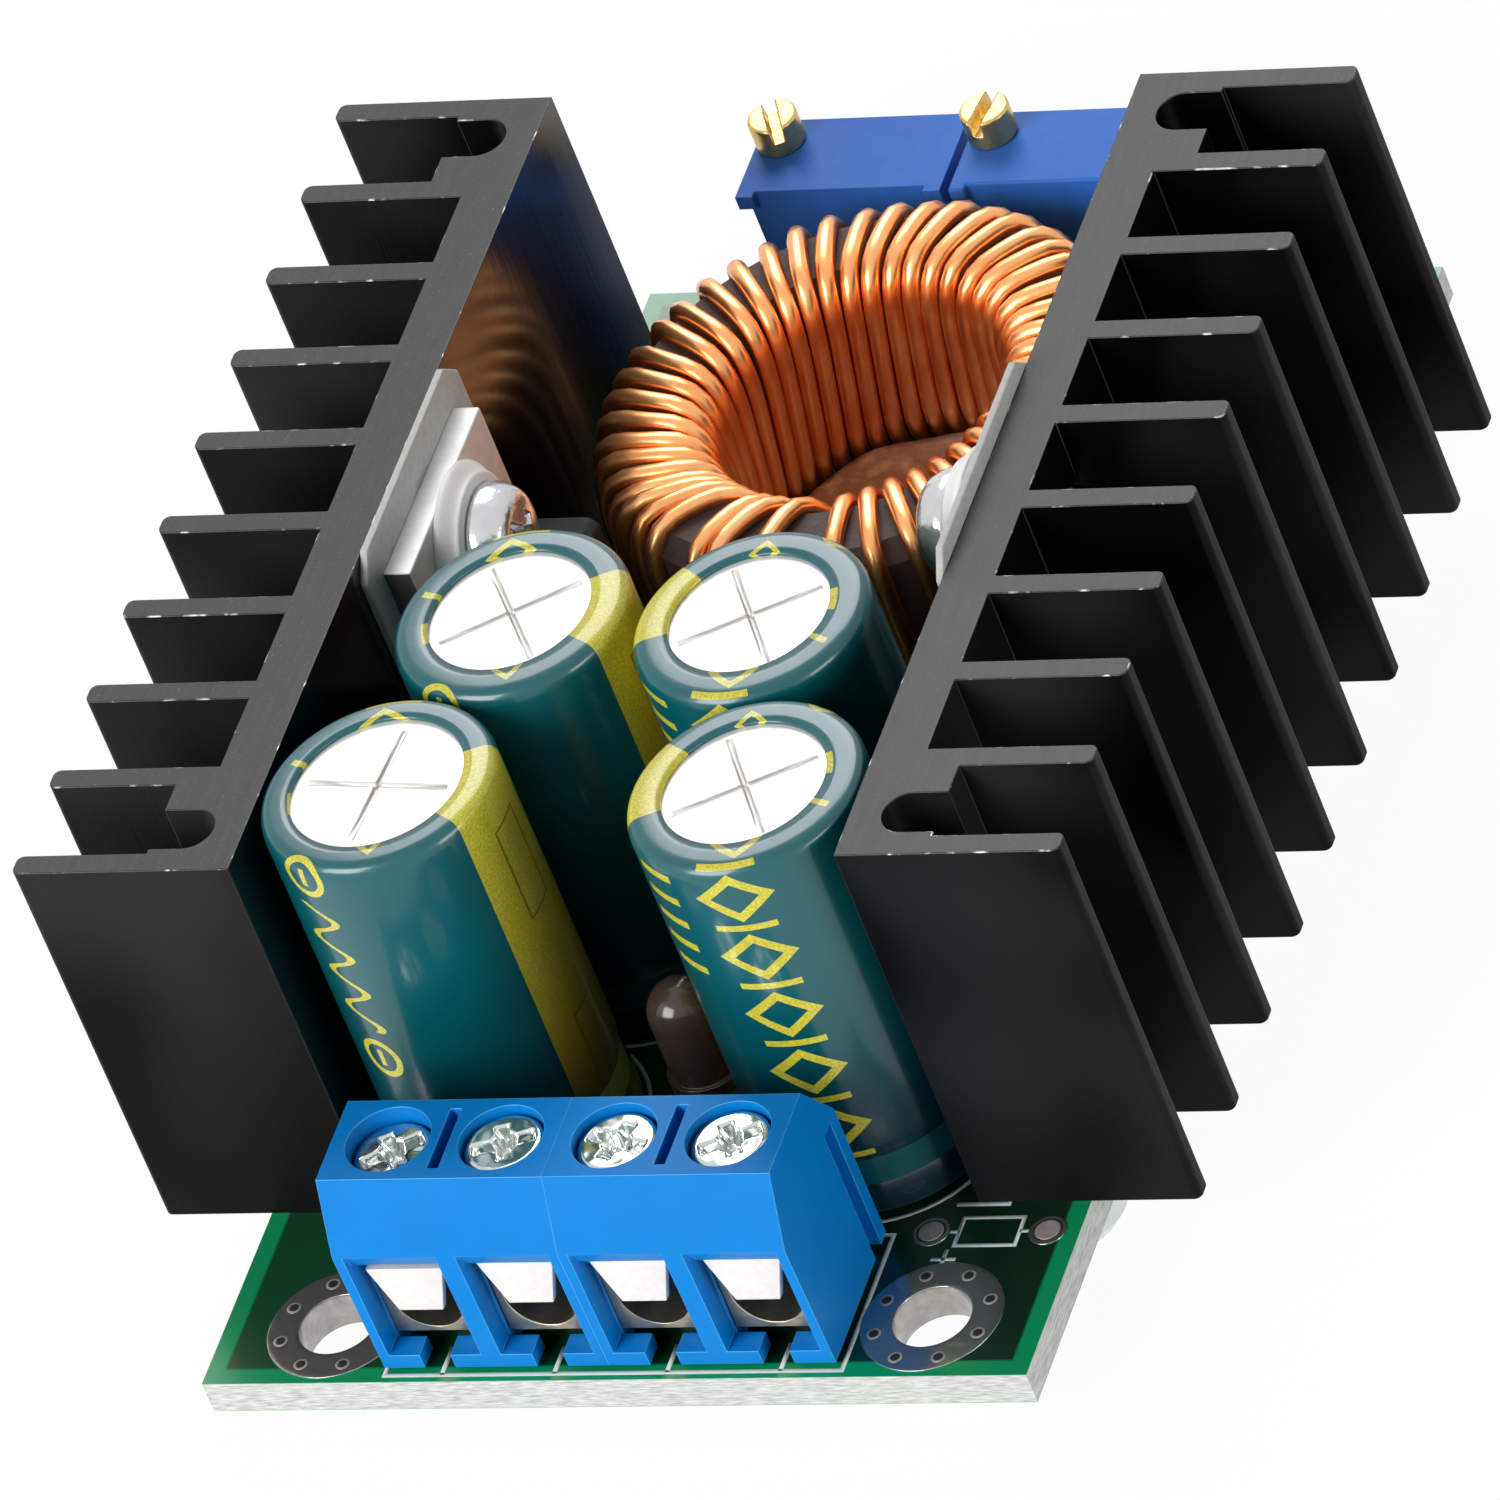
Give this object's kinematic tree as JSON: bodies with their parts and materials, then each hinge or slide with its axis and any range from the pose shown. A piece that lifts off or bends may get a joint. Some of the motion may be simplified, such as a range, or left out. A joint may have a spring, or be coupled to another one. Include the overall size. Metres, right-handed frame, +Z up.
{
  "type": "buck converter module",
  "caption": "Step-down converter board with ring coil, tall capacitors, finned heatsinks along both sides, trimmers and a screw terminal across one end.",
  "frame": {"origin": "centre of the rectangle of the corner holes, on the board's underside", "axes": "+Z up out of the board towards the components, +Y along the board from the screw terminal to the trimmers, +X across the board to the right-hand heatsink"},
  "size_m": [0.0468, 0.0656, 0.0243],
  "materials": {
    "board": "green solder mask, satin",
    "solder": "bright, slightly dull solder",
    "black_anodised": "black anodised, satin",
    "zinc": "bright zinc plate",
    "terminal_blue": "satin blue moulding",
    "cage": "tinned brass",
    "leaf": "pale tin plate",
    "can": "bright aluminium",
    "sleeve": "dark teal shrink sleeve, glossy",
    "lead": "tinned wire",
    "pad": "silicone sheet, matt",
    "tab": "tinned copper",
    "moulding": "black epoxy",
    "bushing": "white nylon",
    "copper": "enamelled copper wire, glossy",
    "core": "coated iron powder",
    "glue": "pale silicone glue",
    "trimmer_blue": "satin blue moulding",
    "adjuster": "brass",
    "clear": "clear epoxy",
    "ceramic": "chip parts, matt"
  },
  "bodies": {
    "module": {"circuit_board": "board", "solder_joints": "solder", "heatsink_left": "black_anodised", "heatsink_right": "black_anodised", "heatsink_screws": "zinc", "terminal_housing_left": "terminal_blue", "terminal_housing_right": "terminal_blue", "terminal_cage_1": "cage", "terminal_cage_2": "cage", "terminal_cage_3": "cage", "terminal_cage_4": "cage", "capacitor_front_left_can": "can", "capacitor_front_left_sleeve": "sleeve", "capacitor_front_left_leads": "lead", "capacitor_front_right_can": "can", "capacitor_front_right_sleeve": "sleeve", "capacitor_front_right_leads": "lead", "capacitor_back_left_can": "can", "capacitor_back_left_sleeve": "sleeve", "capacitor_back_left_leads": "lead", "capacitor_back_right_can": "can", "capacitor_back_right_sleeve": "sleeve", "capacitor_back_right_leads": "lead", "power_device_left_pad": "pad", "power_device_left_tab": "tab", "power_device_left_body": "moulding", "power_device_left_leads": "lead", "power_device_left_bushing": "bushing", "power_device_left_screw": "zinc", "trimmer_left_body": "trimmer_blue", "trimmer_left_leads": "lead", "power_device_right_pad": "pad", "power_device_right_tab": "tab", "power_device_right_body": "moulding", "power_device_right_leads": "lead", "power_device_right_bushing": "bushing", "power_device_right_screw": "zinc", "trimmer_right_body": "trimmer_blue", "trimmer_right_leads": "lead", "coil_core": "core", "coil_winding": "copper", "coil_glue": "glue", "lamp_lens": "clear", "lamp_leads": "lead", "control_chip_bodies": "moulding", "control_chip_legs": "lead", "chip_passives": "ceramic", "current_shunt": "ceramic"},
    "clamp_leaf_1": {"terminal_leaf_1": "leaf"},
    "clamp_screw_1": {"terminal_screw_1": "zinc"},
    "clamp_leaf_2": {"terminal_leaf_2": "leaf"},
    "clamp_screw_2": {"terminal_screw_2": "zinc"},
    "clamp_leaf_3": {"terminal_leaf_3": "leaf"},
    "clamp_screw_3": {"terminal_screw_3": "zinc"},
    "clamp_leaf_4": {"terminal_leaf_4": "leaf"},
    "clamp_screw_4": {"terminal_screw_4": "zinc"},
    "adjuster_left": {"trimmer_left_screw": "adjuster"},
    "adjuster_right": {"trimmer_right_screw": "adjuster"}
  },
  "joints": [
    {"name": "clamp_leaf_1_drop", "type": "slide", "parent": "module", "child": "clamp_leaf_1", "axis": [0, 0, -1], "range_m": [-0.00035, 0.00145]},
    {"name": "clamp_screw_1_turn", "type": "hinge", "parent": "clamp_leaf_1", "child": "clamp_screw_1", "pos_m": [-0.00772, -0.02902, 0.01125], "axis": [0, 0, -1], "range_deg": [-252, 1044]},
    {"name": "clamp_leaf_2_drop", "type": "slide", "parent": "module", "child": "clamp_leaf_2", "axis": [0, 0, -1], "range_m": [0, 0.0018]},
    {"name": "clamp_screw_2_turn", "type": "hinge", "parent": "clamp_leaf_2", "child": "clamp_screw_2", "pos_m": [-0.00264, -0.02902, 0.0116], "axis": [0, 0, -1], "range_deg": [0, 1296]},
    {"name": "clamp_leaf_3_drop", "type": "slide", "parent": "module", "child": "clamp_leaf_3", "axis": [0, 0, -1], "range_m": [0, 0.0018]},
    {"name": "clamp_screw_3_turn", "type": "hinge", "parent": "clamp_leaf_3", "child": "clamp_screw_3", "pos_m": [0.00244, -0.02902, 0.0116], "axis": [0, 0, -1], "range_deg": [0, 1296]},
    {"name": "clamp_leaf_4_drop", "type": "slide", "parent": "module", "child": "clamp_leaf_4", "axis": [0, 0, -1], "range_m": [0, 0.0018]},
    {"name": "clamp_screw_4_turn", "type": "hinge", "parent": "clamp_leaf_4", "child": "clamp_screw_4", "pos_m": [0.00752, -0.02902, 0.0116], "axis": [0, 0, -1], "range_deg": [0, 1296]},
    {"name": "adjuster_left_turn", "type": "hinge", "parent": "module", "child": "adjuster_left", "pos_m": [-0.00839, 0.03102, 0.0118], "axis": [0, 0, -1], "continuous": true},
    {"name": "adjuster_right_turn", "type": "hinge", "parent": "module", "child": "adjuster_right", "pos_m": [0.00148, 0.03102, 0.0118], "axis": [0, 0, -1], "continuous": true}
  ],
  "couplings": [
    {"joint": "clamp_screw_1_turn", "follows": "clamp_leaf_1_drop", "rad_per_m": 12566},
    {"joint": "clamp_screw_2_turn", "follows": "clamp_leaf_2_drop", "rad_per_m": 12566},
    {"joint": "clamp_screw_3_turn", "follows": "clamp_leaf_3_drop", "rad_per_m": 12566},
    {"joint": "clamp_screw_4_turn", "follows": "clamp_leaf_4_drop", "rad_per_m": 12566}
  ]
}
